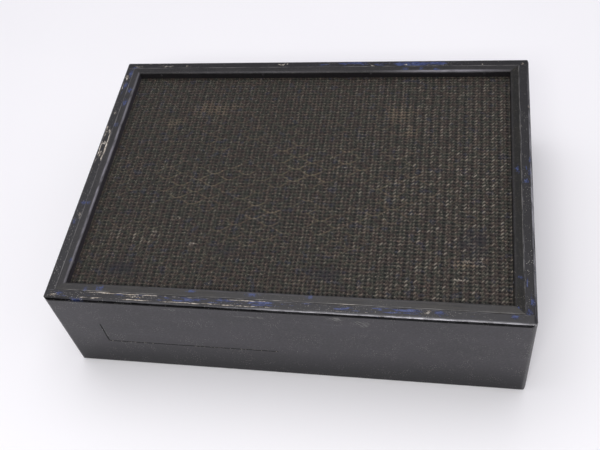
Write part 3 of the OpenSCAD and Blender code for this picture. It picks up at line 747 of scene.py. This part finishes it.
def make_flexing_parts(side):
    """The surround, spider and lead-out wires of one driver."""
    surround, spider, leads = (f"driver_{side}_{part}" for part in ("surround", "spider", "tinsel_leads"))
    low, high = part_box(surround)
    centre, rim_r = (low + high) / 2, (high.x - low.x) / 2
    cone_edge = (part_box(f"driver_{side}_cone")[1].x - centre.x) + 0.3 * MM
    steel = 0.8 * MM
    outline = pleats((cone_edge, low.z + steel), (rim_r - 7 * MM, high.z), 3, 1.1 * MM, (rim_r, high.z))
    piece = pleated_ring(f"pleated_surround_{side}", outline, centre, steel)
    flexing_part(piece, surround, by_slot[slot_of[surround]])

    low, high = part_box(spider)
    rim_r = (high.x - low.x) / 2
    coil_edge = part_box(f"driver_{side}_voice_coil")[1].x - centre.x
    cloth_t = 0.6 * MM
    outline = pleats(
        (coil_edge - 0.3 * MM, low.z + 6 * MM), (rim_r - 6.5 * MM, low.z + cloth_t),
        5, 1.2 * MM, (rim_r, low.z + cloth_t),
    )
    piece = pleated_ring(f"pleated_spider_{side}", outline, centre, cloth_t)
    flexing_part(piece, spider, by_slot["spider_cloth"])

    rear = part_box("baffle")[0].z
    route = [(0, 82, -76.6), (0, 78, -74.5), (0, 73, -70.5), (0, 66, -67), (0, 57, -62.5), (0, 46.5, -53)]
    smooth = rounded_route(route) * MM + (centre.x, centre.y, rear)
    apart = np.array((8 * MM, 0, 0))
    piece = braided_leads(f"braided_leads_{side}", [smooth - apart, smooth + apart], 0.7 * MM)
    flexing_part(piece, leads, by_slot["tinsel"])


# ---------- assembly ----------


def finish_node(name, material):
    """Gives a CAD node its material."""
    node = frame["nodes"][name]
    for slot in node.material_slots:
        slot.material = material


make_camera()
make_lights()
make_room()

FLOOR_R = 14
floor_mesh = bpy.data.meshes.new("floor")
rim = [(FLOOR_R * math.cos(a), FLOOR_R * math.sin(a), 0) for a in np.linspace(0, 2 * math.pi, 97)[:-1]]
floor_mesh.from_pydata(rim, [], [range(len(rim))])
floor = bpy.data.objects.new("floor", floor_mesh)
bpy.context.scene.collection.objects.link(floor)
floor_paint = Paint("floor_pale", Specular_IOR_Level=0.15)
floor_colour = floor_paint.mix(floor_paint.noise(2), "f0f0f2", "f5f5f6")
floor.data.materials.append(floor_paint.done(floor_colour, 0.8))

# Wear on the boards: soft patches are (middle, reach, strength) along the side in metres.
# Chips and scuffs are ovals in millimetres. The rubbed patches lay a painted highlight with rubbed paint
# along the outer arris.
NO_WEAR = [(0, 0.1, 0)]
FAR_OFF = [(0, 900, 1, 1)]
top_board = painted_board("painted_board_top", "x", 1, {
    "groove": [
        (-0.25, 0.06, 1.1), (-0.19, 0.05, 0.8), (-0.12, 0.08, 0.5), (-0.04, 0.05, 0.9), (0.08, 0.13, 0.4),
    ],
    "arris": [
        (-0.275, 0.04, 0.9), (-0.21, 0.05, 0.9), (-0.13, 0.07, 1.0), (-0.04, 0.09, 0.8), (0.1, 0.1, 0.4),
    ],
    "chips": [
        (-258, -244, 9, 1.6), (-41, -245, 12, 1.4), (-338, -251, 7, 3), (212, -248, 4, 4),
        (-205, -248, 16, 2),
    ],
    "blue": [
        (-0.23, 0.05, 0.9), (-0.15, 0.06, 0.9), (-0.03, 0.12, 1.2), (0.12, 0.1, 0.7), (0.19, 0.06, 0.9),
    ],
    "blue_chips": [
        (-331, -249, 7, 5), (-116, -247, 9, 4), (-75, -246, 15, 3), (44, -243, 8, 3),
        (190, -246, 18, 3.5), (227, -247, 10, 4.5), (325, -247, 7, 4), (-300, -258, 14, 4),
    ],
    "specks": [(-0.30, 0.12, 1.0), (0.0, 0.25, 0.7), (0.25, 0.15, 0.4)],
    "rubbed": [(0.24, 0.22, 0.75), (0.02, 0.14, 0.5), (-0.2, 0.15, 0.2)],
    "scuffs": [
        (121, 167, 15, 10), (86, 176, 15, 6), (-156, 176, 16, 2), (-352, 163, 5, 7), (-40, 168, 30, 3),
    ],
}, joint=True)
finish_node("top_panel", top_board)
finish_node("cutout_infill", top_board)
finish_node("bottom_panel", painted_board("painted_board_bottom", "x", 3, {
    "groove": [(-0.29, 0.03, 0.3), (0.12, 0.16, 0.3)],
    "arris": [(-0.28, 0.05, 0.5), (-0.06, 0.05, 0.3)],
    "chips": [
        (-277, 248, 13, 2.2), (-331, 248, 8, 2), (-238, 248, 3, 2), (-63, 250, 11, 3), (153, 247, 2.5, 2.5),
        (191, 246, 3, 2), (280, 247, 2, 2), (345, 247, 2, 3), (96, 246, 3, 2),
    ],
    "blue": [(0.17, 0.12, 1.3), (0.03, 0.1, 0.7)],
    "blue_chips": [(165, 251, 34, 6), (206, 251, 16, 6), (65, 252, 30, 4), (-338, 240, 6, 9)],
    "specks": [(-0.25, 0.1, 0.5), (0.2, 0.15, 0.3)],
    "rubbed": [(0.0, 0.3, 0.3)],
    "scuffs": FAR_OFF,
}, gloss=0.32))
finish_node("left_side", painted_board("painted_board_left", "y", 5, {
    "groove": [(-0.10, 0.02, 0.8), (0.03, 0.05, 1.0), (0.07, 0.05, 1.1), (-0.14, 0.02, 0.6)],
    "arris": [(0.06, 0.06, 0.8), (0.0, 0.06, 0.6), (0.2, 0.06, 0.5)],
    "chips": [(-345, 57, 5, 5), (-345, 83, 5, 6), (-346, 32, 4, 6), (-345, 128, 3, 3), (-347, 219, 4, 7),
              (-343, -98, 2.5, 6), (-350, -250, 5, 3), (-350, 92, 3, 8)],
    "blue": [(-0.115, 0.02, 0.6), (0.18, 0.06, 0.5)],
    "blue_chips": [(-348, -114, 4, 7), (-341, -75, 8, 5), (-345, 200, 4, 10), (-342, 228, 6, 12)],
    "specks": [(-0.21, 0.06, 2.4), (-0.10, 0.12, 1.0), (0.08, 0.12, 0.9)],
    "rubbed": [(0.05, 0.15, 0.3)],
    "scuffs": FAR_OFF,
}))
finish_node("right_side", painted_board("painted_board_right", "y", 7, {
    "groove": [(0, 0.2, 0.2)],
    "arris": NO_WEAR,
    "chips": [(350, 246, 3, 3), (352, 147, 2, 3)],
    "blue": [(-0.20, 0.08, 0.5), (0.0, 0.06, 0.4)],
    "blue_chips": [
        (344, -239, 5, 6), (349, -223, 4, 8), (345, -9, 5, 6), (351, 8, 2.5, 9), (351, 33, 2, 7),
    ],
    "specks": [(-0.16, 0.06, 0.9), (0.0, 0.25, 0.4)],
    "rubbed": [(-0.05, 0.35, 0.9)],
    "scuffs": FAR_OFF,
}, gloss=0.36))
# Per strip: chips and wear, and painted light: the wall colour is painted light and shade, the shine patches
# a painted highlight.
STRIP_WEAR_AND_LIGHT = {
    "top": {
        "blue_chips": [
            (-268, -237, 9, 6), (-291, -240, 5, 5), (-127, -234, 10, 3), (-35, -234, 14, 4), (48, -234, 6, 4),
        ],
        "groove": [(-0.15, 0.2, 1.0), (0.08, 0.12, 0.6)],
        "shine": [(0, 0.4, 0.25)],
        "wall": "151416", "body": ("1b1a1a", "302e2a"), "gloss": 0.5,
    },
    "bottom": {
        "blue_chips": [(153, 236, 6, 5), (180, 237, 5, 6), (205, 234, 8, 3)],
        "groove": [(0.15, 0.12, 0.6)],
        "shine": [(0.22, 0.14, 1.1), (-0.1, 0.2, 0.15)],
        "wall": "0a090b", "body": ("121113", "211f20"), "gloss": 0.4,
    },
    "left": {
        "blue_chips": [
            (-334, 153, 6, 10), (-333, 185, 6, 9), (-336, 99, 5, 7), (-334, -75, 4, 4), (-329, -189, 3, 5),
        ],
        "groove": [(0.05, 0.1, 0.9)],
        "shine": [(0, 0.4, 1.0)],
        "wall": "48444c", "body": ("141315", "232123"), "gloss": 0.5,
    },
    "right": {
        "blue_chips": [(333, 12, 4, 8), (334, -184, 4, 4), (330, -249, 6, 7), (329, -236, 5, 6)],
        "groove": NO_WEAR,
        "shine": [(0, 0.4, 0.1)],
        "wall": "121113", "body": ("0e0e0d", "1d1b15"), "gloss": 0.24,
    },
}
for side, run, seed in (("top", "x", 31), ("bottom", "x", 33), ("left", "y", 35), ("right", "y", 37)):
    paint = painted_strip(f"painted_strip_{side}", run, seed, STRIP_WEAR_AND_LIGHT[side])
    finish_node(f"front_strip_{side}", paint)

pine_x = timber("bare_wood_x", "8a6a41", "c2a071", (12, 150, 150))
pine_y = timber("bare_wood_y", "8a6a41", "c2a071", (150, 12, 150))
ply = timber("plywood_face", "8b6a40", "b9935f", (10, 120, 300))
by_slot = {
    "painted_back": matt("painted_back_black", "1d1c1e", "2b2a2c", 0.5, scale=14),
    "plywood": ply,
    "nail_steel": metal("nail_steel_dark", "48464a", "6c6a6e", 0.45),
    "staple_wire": metal("staple_wire_zinc", "77797c", "a0a2a5", 0.3),
    "screw_steel": metal("screw_steel_dull", "6d6b66", "98968f", 0.35),
    "plate_steel": metal("plate_steel_dull", "77787a", "a3a5a8", 0.35, scale=30),
    "plated_metal": metal("plated_metal_bright", "9b9da0", "c9cbcd", 0.22),
    "spring_brass": metal("spring_brass_old", "8f6f2e", "c9a24b", 0.3, tarnish="4e3a1c"),
    "lead_cover": matt("lead_cover_brown", "5a2824", "77403a", 0.55, scale=200),
    "basket_paint": metal("basket_paint_grey", "3d4752", "56626e", 0.4, metallic=0.3, scale=40),
    "gasket_card": matt("gasket_card_brown", "5a4a36", "7a684e", 0.8),
    "cone_paper": matt("cone_paper_black", "2a2825", "45413b", 0.85, fine=1400),
    "coil_copper": metal("coil_copper_wire", "8a4a24", "c07a48", 0.35, tarnish="4a2b1a"),
    "spider_cloth": matt("spider_cloth_amber", "8d7338", "b79a5c", 0.8, fine=1600),
    "ferrite": matt("ferrite_grey", "3a3836", "575451", 0.55, scale=120),
    "terminal_board": matt("terminal_board_brown", "6f4526", "95633a", 0.5),
    "tinsel": metal("tinsel_braid", "8a5a38", "c08a5e", 0.4),
}
slot_of = {part["node"]: part["material_slot"] for part in frame["record"]["subparts"]}
for name, node in frame["nodes"].items():
    if slot_of.get(name) in by_slot:
        finish_node(name, by_slot[slot_of[name]])
    elif slot_of.get(name) == "bare_wood":
        finish_node(name, pine_x if name.endswith(("top", "bottom", "long", "backing")) else pine_y)

for side in ("left", "right"):
    make_flexing_parts(side)

cloth = make_cloth()
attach(cloth, "cabinet")
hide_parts("grille_cloth")
